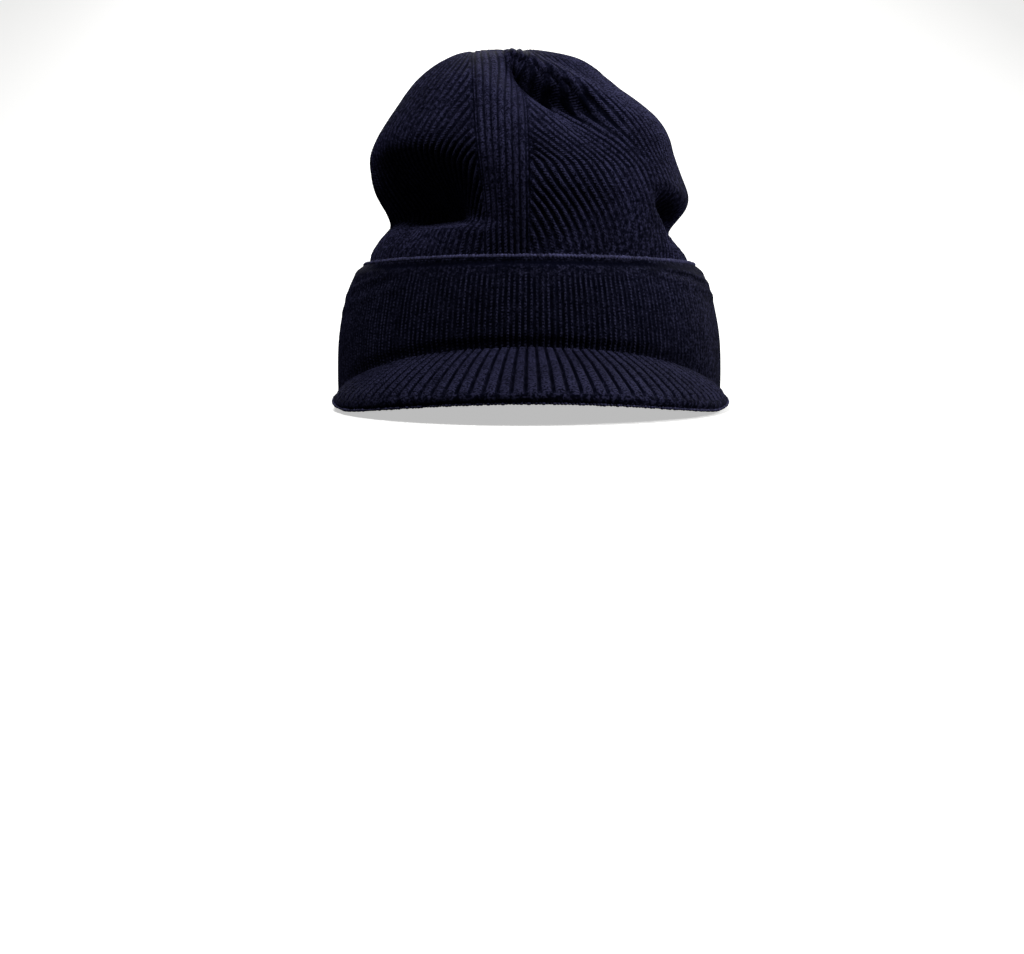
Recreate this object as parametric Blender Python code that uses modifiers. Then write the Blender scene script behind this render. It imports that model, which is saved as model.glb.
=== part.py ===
"""Rib-knit beanie with a turned-up cuff and a short arched visor.

The crown is a knitted bag that stands on the fold of its cuff. The cuff is the same knit turned up
around it, with a hem along its free edge. The visor is sewn to the fold at the front.
Metres, +Z up. The visor points along -Y, and angles run from the front towards +X.
"""
from math import asin, cos, degrees, exp, pi, radians, sin, tau

import bmesh
import bpy
from mathutils import Vector

# Head opening and knit
OPENING_WIDTH = 0.168
OPENING_DEPTH = 0.206
CROWN_WALL = 0.0035
CUFF_WALL = 0.0040
CUFF_LOFT = 0.0010
SEAT_GAP = 0.0003

# Heights above the floor
CROWN_HEIGHT = 0.166
CUFF_HEIGHT = 0.0625
CUFF_FRONT_RISE = 0.0065
FRONT_ARCH = 0.0213
FOLD_HEIGHT = 0.0065
FOLD_ROUND = 0.0020

# Hem along the cuff's free edge
HEM_HEIGHT = 0.0097
HEM_RIDGE = 0.0008
HEM_ROLL = 0.0022

# Fashioned bands, front and back, where the crown is narrowed
BAND_WIDTH = 0.020
BAND_SPREAD = 0.005
BAND_GROOVE = 0.0010
BAND_TWIST = radians(-7.5)

# Visor
VISOR_LENGTH = 0.045
VISOR_THICKNESS = 0.0060
VISOR_HALF_ANGLE = radians(68)
VISOR_ROOT_RISE = 0.0085
VISOR_EDGE_HEIGHT = 0.0008
VISOR_EDGE_ARCH = 0.0079
VISOR_CAMBER = 0.0015
VISOR_END_REACH = 0.0036
VISOR_RIB_PITCH = 0.00435
VISOR_RIB_DEPTH = 0.0007

# Curves: powers of the tapers and arches, and the share of the visor's span that its edge is arched over
ARCH_POWER = 1.25
VISOR_TAPER = 1.06
VISOR_ARCH_SHARE = 0.6
BAND_FADE = 0.3

# Fineness of the meshes
COLUMNS_PER_SIDE = 35
COLUMNS_PER_BAND = 4
CUFF_FACE_SHARES = (0.30, 0.60, 0.85)
VISOR_TOP_SHARES = (0.0, 0.35, 0.70, 1.0)
VISOR_NOSE_TURNS = (pi / 4, 0.0, -pi / 4)
VISOR_UNDER_SHARES = (1.0, 0.5, 0.0)
NORMAL_STEP = 0.01

# The cuff's outer face. Height is a share of the way from the floor to the cuff's top, and size is a
# share of the cuff's half width and half depth at its widest.
CUFF_FACE = (
    # height, size
    (0.00, 1.000),
    (0.20, 1.002),
    (0.40, 0.998),
    (0.55, 0.986),
    (0.70, 0.965),
    (0.80, 0.946),
    (0.88, 0.924),
    (0.95, 0.904),
    (1.00, 0.884),
)

# The crown's sections above the cuff. Height is a share of the rise from the cuff's top to the crown's
# top. Left and right are shares of the crown's half width where it leaves the cuff, and front and back
# are shares of its half depth there.
CROWN_SECTIONS = (
    # height, left, right, front, back
    (0.000, 1.000, 0.996, 1.000, 1.000),
    (0.080, 1.012, 1.008, 1.005, 1.016),
    (0.150, 1.025, 1.008, 1.009, 1.029),
    (0.220, 1.033, 1.006, 1.010, 1.044),
    (0.314, 1.034, 1.002, 1.007, 1.066),
    (0.416, 1.020, 0.952, 0.993, 1.091),
    (0.507, 1.008, 0.908, 0.967, 1.100),
    (0.585, 0.963, 0.880, 0.929, 1.090),
    (0.662, 0.900, 0.819, 0.870, 1.057),
    (0.739, 0.831, 0.714, 0.790, 0.998),
    (0.807, 0.769, 0.595, 0.693, 0.912),
    (0.865, 0.705, 0.502, 0.587, 0.811),
    (0.913, 0.630, 0.426, 0.480, 0.700),
    (0.952, 0.543, 0.334, 0.368, 0.572),
    (0.981, 0.445, 0.209, 0.241, 0.427),
    (0.996, 0.301, 0.052, 0.096, 0.256),
)

# Folds where the soft crown has sunk in. Height, above and below are shares of the crown's rise over the
# cuff, depth is a share of its half width, and climb is the fold line's rise for each degree of turn.
CROWN_FOLDS = (
    # angle, width, height, climb, above, below, depth
    (-74.0, 44.0, 0.170, -0.0010, 0.135, 0.063, 0.160),
    (-44.0, 25.0, 0.185, -0.0010, 0.170, 0.062, 0.190),
    (95.0, 38.0, 0.163, 0.0000, 0.080, 0.090, 0.125),
    (20.0, 21.0, 0.770, -0.0040, 0.070, 0.080, 0.100),
    (168.0, 40.0, 0.150, 0.0000, 0.120, 0.080, 0.060),
)
FOLD_SIDES = 4.0
FOLD_SLOPE = 1.6

# Rows of both meshes where the crown stands inside the cuff, as shares of the way from the crown's foot
# to the cuff's top
SEATED_SHARES = (0.12, 0.42, 0.68, 0.88)


def smooth_row(table, position):
    """Every column of a table at a position between its rows, on a smooth curve through them."""
    last = len(table) - 1
    index = min(int(position), last - 1)
    share = position - index
    before = table[max(index - 1, 0)]
    start = table[index]
    end = table[index + 1]
    after = table[min(index + 2, last)]
    values = []
    for p0, p1, p2, p3 in zip(before, start, end, after):
        cubic = 3.0 * (p1 - p2) + p3 - p0
        square = 2.0 * p0 - 5.0 * p1 + 4.0 * p2 - p3
        values.append(p1 + 0.5 * share * (p2 - p0 + share * (square + share * cubic)))
    return values


def cuff_size(height_share):
    """Size share of the cuff's outer face at a height share."""
    rows = CUFF_FACE
    index = 0
    while index < len(rows) - 2 and rows[index + 1][0] < height_share:
        index += 1
    step = rows[index + 1][0] - rows[index][0]
    return smooth_row(rows, index + (height_share - rows[index][0]) / step)[1]


def front_wave(angle, reach):
    """One at the front, falling to zero at the reach on either side."""
    turned = abs((angle + pi) % tau - pi)
    return cos(turned / reach * pi / 2) if turned < reach else 0.0


def rim_height(angle):
    """Height of the fold's underside, which arches over the visor's root."""
    return FRONT_ARCH * front_wave(angle, VISOR_HALF_ANGLE) ** ARCH_POWER


def cuff_top(angle):
    """Height of the cuff's free edge."""
    return CUFF_HEIGHT + CUFF_FRONT_RISE * (0.5 + 0.5 * cos(angle)) ** 2


CUFF_HALF_WIDTH = OPENING_WIDTH / 2 + CROWN_WALL + CUFF_LOFT + CUFF_WALL
CUFF_HALF_DEPTH = OPENING_DEPTH / 2 + CROWN_WALL + CUFF_LOFT + CUFF_WALL
CROWN_HALF_WIDTH = CUFF_HALF_WIDTH * cuff_size(1.0) - CUFF_WALL - CUFF_LOFT
CROWN_HALF_DEPTH = CUFF_HALF_DEPTH * cuff_size(1.0) - CUFF_WALL - CUFF_LOFT
HEAD_Y = (CUFF_HALF_DEPTH * cuff_size(0.4) + VISOR_LENGTH - CUFF_HALF_DEPTH) / 2


def seated_height(angle, share):
    """Height at a share of the way from the crown's foot, just above the fold, to the cuff's top."""
    foot = rim_height(angle) + FOLD_HEIGHT + SEAT_GAP
    return foot + (cuff_top(angle) - foot) * share


def cuff_point(angle, height, inset):
    """Point at a height, set in from the cuff's outer face."""
    size = cuff_size(height / cuff_top(angle))
    half_width = CUFF_HALF_WIDTH * size - inset
    half_depth = CUFF_HALF_DEPTH * size - inset
    return Vector((half_width * sin(angle), -half_depth * cos(angle), height))


def cuff_section(angle):
    """Closed outline of the cuff at one angle: fold, outer face, hem, inner face and ledge."""
    rim = rim_height(angle)
    top = cuff_top(angle)
    ledge = rim + FOLD_HEIGHT
    fold_width = CUFF_WALL + SEAT_GAP + CROWN_WALL
    shoulder = FOLD_ROUND * (1 - cos(pi / 4))
    outline = [
        (rim, FOLD_ROUND),
        (rim + shoulder, shoulder),
        (rim + FOLD_ROUND, 0.0),
    ]
    ridge = top - HEM_HEIGHT
    for share in CUFF_FACE_SHARES:
        outline.append((rim + FOLD_ROUND + (ridge - rim - FOLD_ROUND) * share, 0.0))
    outline += [
        (ridge, -HEM_RIDGE),
        (top - HEM_HEIGHT / 2, 0.0),
        (top - HEM_ROLL, -HEM_RIDGE / 2),
        (top, CUFF_WALL / 2),
        (top - HEM_ROLL, CUFF_WALL),
    ]
    for share in reversed(SEATED_SHARES):
        outline.append((seated_height(angle, share), CUFF_WALL))
    outline += [
        (ledge, CUFF_WALL),
        (ledge, fold_width),
        (rim + shoulder, fold_width),
        (rim, fold_width - shoulder),
    ]
    return [cuff_point(angle, height, inset) for height, inset in outline]


def crown_body(angle, position):
    """Point of the crown above the cuff, without its folds. Position counts the section rows."""
    height, left, right, front, back = smooth_row(CROWN_SECTIONS, position)
    left *= CROWN_HALF_WIDTH
    right *= CROWN_HALF_WIDTH
    front *= CROWN_HALF_DEPTH
    back *= CROWN_HALF_DEPTH
    mouth = cuff_top(angle)
    return Vector((
        (right - left) / 2 + (right + left) / 2 * sin(angle),
        (back - front) / 2 - (back + front) / 2 * cos(angle),
        mouth + (CROWN_HEIGHT - mouth) * height,
    ))


def fold_depth(angle, height):
    """How far the folds pull the crown in at an angle and a height share."""
    depth = 0.0
    for fold_angle, width, fold_height, climb, above, below, share in CROWN_FOLDS:
        turn = degrees((angle - radians(fold_angle) + pi) % tau - pi)
        rise = height - fold_height - climb * turn
        across = abs(turn / width) ** FOLD_SIDES
        along = abs(rise / (above if rise > 0 else below)) ** FOLD_SLOPE
        depth += share * CROWN_HALF_WIDTH * exp(-across - along)
    return depth


def crown_point(angle, position, groove):
    """Point of the crown above the cuff, sunk along its normal by its folds and a groove."""
    body = crown_body(angle, position)
    around = crown_body(angle + NORMAL_STEP, position) - crown_body(angle - NORMAL_STEP, position)
    above = min(position + NORMAL_STEP, len(CROWN_SECTIONS) - 1)
    up = crown_body(angle, above) - crown_body(angle, max(position - NORMAL_STEP, 0))
    height = smooth_row(CROWN_SECTIONS, position)[0]
    sink = fold_depth(angle, height) * min(1.0, position) + groove
    return body - around.cross(up).normalized() * sink


def crown_columns(half_width, width):
    """Angles of the crown's columns at one row, closer together in the two fashioned bands."""
    spread = asin(min(0.94, width / 2 / half_width))
    angles = []
    for turn in (0.0, pi):
        for column in range(COLUMNS_PER_BAND):
            angles.append(BAND_TWIST + turn - spread + 2 * spread * column / COLUMNS_PER_BAND)
        for column in range(COLUMNS_PER_SIDE):
            side = (pi - 2 * spread) * column / COLUMNS_PER_SIDE
            angles.append(BAND_TWIST + turn + spread + side)
    return angles


def crown_rows():
    """Rings of points from the crown's lower edge, seated on the cuff's fold, to just below its top."""
    rings = []
    for share in (0.0,) + SEATED_SHARES:
        ring = []
        for angle in crown_columns(CROWN_HALF_WIDTH, BAND_WIDTH):
            inset = CUFF_WALL + SEAT_GAP + (CUFF_LOFT - SEAT_GAP) * share
            point = cuff_point(angle, seated_height(angle, max(share, SEATED_SHARES[0])), inset)
            point.z = seated_height(angle, share)
            ring.append(point)
        rings.append(ring)
    for position, section in enumerate(CROWN_SECTIONS):
        height, left, right = section[:3]
        half_width = CROWN_HALF_WIDTH * (left + right) / 2
        groove = BAND_GROOVE * min(1.0, height / BAND_FADE)
        ring = []
        angles = crown_columns(half_width, BAND_WIDTH + BAND_SPREAD * height)
        for column, angle in enumerate(angles):
            place = column % (COLUMNS_PER_BAND + COLUMNS_PER_SIDE)
            at_edge = place in (0, COLUMNS_PER_BAND)
            ring.append(crown_point(angle, position, groove if at_edge else 0.0))
        rings.append(ring)
    return rings


def visor_point(angle, root, out, height):
    """Point of the visor, out from the cuff's face as that face is at the root's height."""
    point = cuff_point(angle, root, -SEAT_GAP - out)
    point.z = height
    return point


def visor_outline(share, groove):
    """Closed outline of the visor at one share of its half angle: top, rounded edge, underside."""
    angle = share * VISOR_HALF_ANGLE
    taper = 1.0 - share * share
    reach = max(VISOR_LENGTH * taper ** VISOR_TAPER, VISOR_END_REACH)
    nose = min(VISOR_THICKNESS, reach) / 2
    flat = reach - nose
    root = rim_height(angle) + VISOR_ROOT_RISE
    arch = front_wave(angle, VISOR_HALF_ANGLE * VISOR_ARCH_SHARE) ** ARCH_POWER
    edge = VISOR_EDGE_HEIGHT + VISOR_EDGE_ARCH * arch + VISOR_THICKNESS

    def top_height(along):
        camber = VISOR_CAMBER * taper * sin(pi * along)
        return root + (edge - root) * flat * along / reach + camber

    outline = []
    for along in VISOR_TOP_SHARES:
        outline.append(visor_point(angle, root, flat * along, top_height(along) - groove))
    for turn in VISOR_NOSE_TURNS:
        height = edge - VISOR_THICKNESS / 2 + (VISOR_THICKNESS / 2 - groove) * sin(turn)
        out = flat + (nose - groove) * cos(turn)
        outline.append(visor_point(angle, root - VISOR_THICKNESS / 2, out, height))
    for along in VISOR_UNDER_SHARES:
        height = top_height(along) - VISOR_THICKNESS + groove / 2
        outline.append(visor_point(angle, root - VISOR_THICKNESS, flat * along, height))
    return outline


def make_object(name, bm, colour, parent):
    """Object with its own knit material, under the hat's empty."""
    mesh = bpy.data.meshes.new(name)
    bmesh.ops.recalc_face_normals(bm, faces=bm.faces)
    bm.to_mesh(mesh)
    bm.free()
    mesh.shade_smooth()
    mesh.set_sharp_from_angle(angle=radians(50))
    material = bpy.data.materials.new(name + "_knit")
    material.use_nodes = True
    shader = material.node_tree.nodes["Principled BSDF"]
    shader.inputs["Base Color"].default_value = colour
    shader.inputs["Roughness"].default_value = 0.9
    shader.inputs["Metallic"].default_value = 0.0
    mesh.materials.append(material)
    piece = bpy.data.objects.new(name, mesh)
    hat.objects.link(piece)
    piece.parent = parent
    return piece


def loft(sections, closed):
    """Closed body through outlines of equal count, joined end to end or capped."""
    bm = bmesh.new()
    loops = [[bm.verts.new(point) for point in section] for section in sections]
    following = loops[1:] + loops[:1] if closed else loops[1:]
    for this_loop, next_loop in zip(loops, following):
        for index, corner in enumerate(this_loop):
            beside = (index + 1) % len(this_loop)
            bm.faces.new((corner, this_loop[beside], next_loop[beside], next_loop[index]))
    if not closed:
        bm.faces.new(loops[0][::-1])
        bm.faces.new(loops[-1])
    return bm


def build_crown(parent):
    """Knitted bag: an open surface closed at its top, with its wall from Solidify."""
    bm = bmesh.new()
    rings = [[bm.verts.new(point) for point in ring] for ring in crown_rows()]
    for lower, upper in zip(rings, rings[1:]):
        for index, corner in enumerate(lower):
            beside = (index + 1) % len(lower)
            bm.faces.new((corner, lower[beside], upper[beside], upper[index]))
    crest = crown_body(0.0, len(CROWN_SECTIONS) - 1)
    behind = crown_body(pi, len(CROWN_SECTIONS) - 1)
    top = bm.verts.new(((crest.x + behind.x) / 2, (crest.y + behind.y) / 2, CROWN_HEIGHT))
    for index, corner in enumerate(rings[-1]):
        bm.faces.new((corner, rings[-1][(index + 1) % len(rings[-1])], top))
    crown = make_object("crown", bm, (0.0100, 0.0100, 0.0220, 1.0), parent)
    wall = crown.modifiers.new("knit_wall", "SOLIDIFY")
    wall.thickness = CROWN_WALL
    wall.offset = -1.0


def build_cuff(parent):
    """Turned-up layer with its fold and hem, all the way round."""
    count = 2 * (COLUMNS_PER_SIDE + COLUMNS_PER_BAND)
    sections = [cuff_section(tau * column / count) for column in range(count)]
    make_object("cuff", loft(sections, True), (0.0075, 0.0075, 0.0160, 1.0), parent)


def build_visor(parent):
    """Arched peak with ribs that fan out from its root, one groove between each two."""
    root_length = VISOR_HALF_ANGLE * (CUFF_HALF_WIDTH + CUFF_HALF_DEPTH)
    ribs = round(root_length / VISOR_RIB_PITCH)
    sections = []
    for column in range(2 * ribs + 1):
        groove = VISOR_RIB_DEPTH if column % 2 == 0 else 0.0
        sections.append(visor_outline(column / ribs - 1, groove))
    make_object("visor", loft(sections, False), (0.0120, 0.0120, 0.0260, 1.0), parent)


for old in list(bpy.data.objects):
    bpy.data.objects.remove(old, do_unlink=True)

hat = bpy.data.collections.new("visor_beanie")
bpy.context.scene.collection.children.link(hat)
head_centre = bpy.data.objects.new("head_centre", None)
head_centre.location = (0.0, HEAD_Y, 0.0)
hat.objects.link(head_centre)

build_crown(head_centre)
build_cuff(head_centre)
build_visor(head_centre)
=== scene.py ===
from math import asin, atan, cos, degrees, exp, hypot, pi, radians, sin, tau

import bmesh
import bpy
import numpy as np
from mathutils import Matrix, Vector


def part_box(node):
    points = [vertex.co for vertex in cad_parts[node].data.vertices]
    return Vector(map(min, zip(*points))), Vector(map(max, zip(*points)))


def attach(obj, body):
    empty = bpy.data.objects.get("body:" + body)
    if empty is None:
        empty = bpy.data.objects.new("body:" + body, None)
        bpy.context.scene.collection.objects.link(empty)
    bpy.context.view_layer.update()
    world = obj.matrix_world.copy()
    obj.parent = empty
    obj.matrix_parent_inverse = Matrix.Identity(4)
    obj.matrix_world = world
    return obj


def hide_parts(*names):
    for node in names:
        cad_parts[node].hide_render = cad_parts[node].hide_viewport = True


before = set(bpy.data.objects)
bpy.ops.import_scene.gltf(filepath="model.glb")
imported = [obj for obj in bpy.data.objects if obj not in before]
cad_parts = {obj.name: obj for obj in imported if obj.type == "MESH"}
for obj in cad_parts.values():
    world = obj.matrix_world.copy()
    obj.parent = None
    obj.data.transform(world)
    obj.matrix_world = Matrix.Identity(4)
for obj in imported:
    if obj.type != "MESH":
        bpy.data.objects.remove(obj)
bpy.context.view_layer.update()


# The cuff
# The lower end of the knitted tube, turned up once over the rest: one layer of wool and acrylic rib. The
# hat stands on its round fold, and the hem along its free edge lies flat and ends in a rolled, sewn rim.

OPENING_WIDTH = 0.168
OPENING_DEPTH = 0.206
CROWN_WALL = 0.0035
CUFF_WALL = 0.0040
CUFF_LOFT = 0.0010
SEAT_GAP = 0.0003
CUFF_HEIGHT = 0.0625
CUFF_FRONT_RISE = 0.0065
FRONT_ARCH = 0.0213
ARCH_POWER = 1.25
FOLD_HEIGHT = 0.0065
FOLD_RADIUS = 0.0032
CUFF_RIB_PITCH = 0.0026
CUFF_RIB_DEPTH = 0.0011
CUFF_FLAT = 0.05
INNER_RELIEF = 0.6
FOLD_RELIEF = 0.8
COURSE_HEIGHT = 0.0014
HEM_HEIGHT = 0.0097
HEM_SINK = CUFF_RIB_DEPTH / 4
HEM_SHOULDER = 0.0036
HEM_SHOULDER_REACH = 0.0046
HEM_ROLL = 0.0014
HEM_LIP = 0.0002
HEM_GAP = 0.0008
HEM_GAP_REACH = 0.0018
HEM_RELIEF = 0.20
HEM_FADE_RATE = 2
# Painted shade on the hem's flat band and rolled rim, and painted shadow in the gap under the roll
HEM_PAINTED_SHADE = 0.50
GAP_PAINTED_SHADOW = 0.60
SIDE_ANGLE = radians(90)
SIDE_REACH = radians(60)
EDGE_CHAIN_TURN = radians(40)
EDGE_STITCH_PITCH = 0.0016
EDGE_STITCH_LENGTH = 0.0023
EDGE_STITCH_WIDTH = 0.0021

# Where the visor is sewn to the cuff's face, which is tucked in along it
VISOR_HALF_ANGLE = radians(68)
VISOR_ROOT_RISE = 0.0087
ROOT_LIFT = 0.0031
ROOT_LIFT_MIDDLE = 0.70
ROOT_LIFT_REACH = 0.60
TUCK_DEPTH = 0.0018
TUCK_REACH = 0.0060
TUCK_POWER = 0.5

# How finely the cuff's mesh follows its shape
COLUMNS_PER_WALE = 4
SAMPLES_PER_COLUMN = 16
FOLD_STEPS = 5
FACE_STEPS = 31
HEM_STEPS = 16
ROLL_STEPS = 7
INNER_STEPS = 7
SAME_POINT = 1e-7

# The cuff's outer face. Height is a share of the way from the floor to the cuff's top, and size is a
# share of the cuff's half width and half depth at its widest.
CUFF_FACE = (
    # height, size
    (0.00, 1.000),
    (0.20, 1.002),
    (0.40, 0.998),
    (0.55, 0.986),
    (0.70, 0.965),
    (0.80, 0.946),
    (0.88, 0.924),
    (0.95, 0.904),
    (1.00, 0.884),
)

# Soft wrinkles in the cuff at its sides. Below is how far under the free edge each one runs, and climb is
# what that grows by for each degree of turn.
CUFF_WRINKLES = (
    # angle, width, below, climb, reach, height
    (-62.0, 20.0, 0.0100, -0.00026, 0.0028, 0.0011),
    (-58.0, 26.0, 0.0165, -0.00024, 0.0028, 0.0009),
    (64.0, 20.0, 0.0065, 0.00018, 0.0026, 0.0012),
    (66.0, 20.0, 0.0120, 0.00020, 0.0026, 0.0012),
    (150.0, 24.0, 0.0130, 0.00020, 0.0030, 0.0008),
)

# Where the cuff is worn and its ribs hardly show. Lost is the share of them that is gone.
CUFF_WORN = (
    # angle, reach, lost
    (-80.0, 42.0, 0.60),
    (72.0, 46.0, 0.80),
)

cuff_low, cuff_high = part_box("cuff")
HAT_MIDDLE = Vector((0.0, (cuff_low.y + cuff_high.y) / 2, 0.0))


def smooth_row(table, position):
    """Every column of a table at a position between its rows, on a smooth curve through them."""
    last = len(table) - 1
    index = min(int(position), last - 1)
    share = position - index
    before = table[max(index - 1, 0)]
    start = table[index]
    end = table[index + 1]
    after = table[min(index + 2, last)]
    values = []
    for p0, p1, p2, p3 in zip(before, start, end, after):
        cubic = 3.0 * (p1 - p2) + p3 - p0
        square = 2.0 * p0 - 5.0 * p1 + 4.0 * p2 - p3
        values.append(p1 + 0.5 * share * (p2 - p0 + share * (square + share * cubic)))
    return values


def cuff_size(height_share):
    """Size share of the cuff's outer face at a height share."""
    index = 0
    while index < len(CUFF_FACE) - 2 and CUFF_FACE[index + 1][0] < height_share:
        index += 1
    step = CUFF_FACE[index + 1][0] - CUFF_FACE[index][0]
    return smooth_row(CUFF_FACE, index + (height_share - CUFF_FACE[index][0]) / step)[1]


def turned(angle, place=0.0):
    """Angle from a place round the hat, the short way round."""
    return (angle - place + pi) % tau - pi


def front_wave(angle, reach):
    """One at the front, falling to zero at the reach on either side."""
    turn = abs(turned(angle))
    return cos(turn / reach * pi / 2) if turn < reach else 0.0


def swell(offset, reach):
    """One at no offset, falling smoothly to zero at the reach."""
    share = abs(offset) / reach
    return (1.0 - share * share) ** 2 if share < 1.0 else 0.0


def side_share(angle):
    """One at the hat's sides, falling to zero towards its front and back."""
    return swell(abs(turned(angle)) - SIDE_ANGLE, SIDE_REACH)


def rim_height(angle):
    """Height of the fold's underside, which arches over the visor's root."""
    return FRONT_ARCH * front_wave(angle, VISOR_HALF_ANGLE) ** ARCH_POWER


def visor_root(angle):
    """Height on the cuff's face where the visor's top is sewn on, lifted between its middle and its ends."""
    share = abs(turned(angle)) / VISOR_HALF_ANGLE
    lift = ROOT_LIFT * swell(share - ROOT_LIFT_MIDDLE, ROOT_LIFT_REACH)
    return rim_height(angle) + VISOR_ROOT_RISE + lift


def cuff_top(angle):
    """Height of the cuff's free edge."""
    return CUFF_HEIGHT + CUFF_FRONT_RISE * (0.5 + 0.5 * cos(angle)) ** 2


CUFF_HALF_WIDTH = OPENING_WIDTH / 2 + CROWN_WALL + CUFF_LOFT + CUFF_WALL
CUFF_HALF_DEPTH = OPENING_DEPTH / 2 + CROWN_WALL + CUFF_LOFT + CUFF_WALL


def cuff_point(angle, height, inset):
    """Point at a height, set in from the cuff's outer face."""
    size = cuff_size(height / cuff_top(angle))
    half_width = CUFF_HALF_WIDTH * size - inset
    half_depth = CUFF_HALF_DEPTH * size - inset
    return Vector((half_width * sin(angle), -half_depth * cos(angle), height))


def cuff_wrinkle(angle, below):
    """How far the wrinkles push the cuff's face out at an angle and a distance below its free edge."""
    push = 0.0
    for place, width, middle, climb, reach, height in CUFF_WRINKLES:
        turn = degrees(turned(angle, radians(place)))
        push += height * exp(-(turn / width) ** 2) * swell(below - middle - climb * turn, reach)
    return push


def hem_shoulder(angle, below):
    """How far the hem leans in at the hat's sides, at a distance below its free edge."""
    return HEM_SHOULDER * side_share(angle) * max(0.0, 1.0 - below / HEM_SHOULDER_REACH) ** 2


def hem_roll(angle, turn):
    """Height and inset on the hem's rolled rim, at a turn from its outer foot to its inner one."""
    below = HEM_ROLL * (1 - sin(turn))
    shoulder = hem_shoulder(angle, below) * (1 + cos(turn)) / 2
    lip = (HEM_SINK - HEM_LIP) * max(cos(turn), 0.0)
    return cuff_top(angle) - below, CUFF_WALL / 2 * (1 - cos(turn)) + shoulder + lip


def cuff_outline(angle):
    """Closed outline of the cuff at one angle: height, inset, share of rib and share of painted shade."""
    rim = rim_height(angle)
    top = cuff_top(angle)
    ledge = rim + FOLD_HEIGHT
    fold_width = CUFF_WALL + SEAT_GAP + CROWN_WALL
    root = visor_root(angle)
    hem_foot = top - HEM_HEIGHT
    hold = front_wave(angle, VISOR_HALF_ANGLE) ** TUCK_POWER
    outline = []
    for step in range(FOLD_STEPS):
        turn = pi / 2 * step / FOLD_STEPS
        outline.append((rim + FOLD_RADIUS * (1 - cos(turn)), FOLD_RADIUS * (1 - sin(turn)), 1.0, 0.0))
    for step in range(FACE_STEPS):
        height = rim + FOLD_RADIUS + (hem_foot - rim - FOLD_RADIUS) * step / FACE_STEPS
        tuck = TUCK_DEPTH * swell(height - root, TUCK_REACH) * hold
        outline.append((height, tuck - cuff_wrinkle(angle, top - height), 1.0, 0.0))
    for step in range(HEM_STEPS):
        height = hem_foot + (top - HEM_ROLL - hem_foot) * step / HEM_STEPS
        below = top - height
        gap = swell(below - HEM_ROLL - HEM_GAP_REACH, HEM_GAP_REACH) * (1.0 - side_share(angle) ** 2)
        relief = 1.0 - (1.0 - HEM_RELIEF) * min(1.0, HEM_FADE_RATE * step / HEM_STEPS)
        inset = HEM_GAP * gap + hem_shoulder(angle, below) + HEM_SINK * (1.0 - relief)
        # Painted shade on the hem, and painted shadow in the gap under its roll
        groove_and_painted_shade = HEM_PAINTED_SHADE * (1.0 - relief) + GAP_PAINTED_SHADOW * gap
        outline.append((height, inset - cuff_wrinkle(angle, below), relief, groove_and_painted_shade))
    for step in range(ROLL_STEPS + 1):
        # The rolled rim is painted in shade
        outline.append((*hem_roll(angle, pi * step / ROLL_STEPS), 0.0, HEM_PAINTED_SHADE))
    for step in range(1, INNER_STEPS + 1):
        height = top - HEM_ROLL + (ledge - top + HEM_ROLL) * step / INNER_STEPS
        outline.append((height, CUFF_WALL, INNER_RELIEF, 0.0))
    outline.append((ledge, fold_width, 0.0, 0.0))
    outline.append((rim + FOLD_RADIUS, fold_width, FOLD_RELIEF, 0.0))
    corner = FOLD_RADIUS * (1 - sin(pi / 4))
    outline.append((rim + corner, fold_width - corner, 1.0, 0.0))
    outline.append((rim, fold_width - FOLD_RADIUS, 1.0, 0.0))
    outline.append(outline[0])
    return outline


def even_angles(count):
    """Angles that part the cuff's oval into equal lengths, ending where it starts."""
    samples = SAMPLES_PER_COLUMN * count
    turns = [tau * step / samples for step in range(samples + 1)]
    lengths = [0.0]
    for turn in turns[1:]:
        lengths.append(lengths[-1] + hypot(CUFF_HALF_WIDTH * cos(turn), CUFF_HALF_DEPTH * sin(turn)))
    steps = [lengths[-1] * step / count for step in range(count + 1)]
    return [float(turn) for turn in np.interp(steps, lengths, turns)]


def courses_along(points, course_height):
    """Course number of each point of a line up the knit, from its length."""
    courses = [0.0]
    for this_point, next_point in zip(points, points[1:]):
        courses.append(courses[-1] + (next_point - this_point).length / course_height)
    return courses


def rows_across(lines, columns_per_rib, flat):
    """Rows of knots across lines that run up the knit, each with its points, courses and shares."""
    rows = []
    for row in range(len(lines[0][0])):
        rows.append([
            (points[row], column / columns_per_rib, courses[row], *shares[row], flat)
            for column, (points, courses, shares) in enumerate(lines)
        ])
    return rows


def put(name, data):
    """Object at the origin with this data, in the scene."""
    thing = bpy.data.objects.new(name, data)
    bpy.context.scene.collection.objects.link(thing)
    return thing


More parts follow.
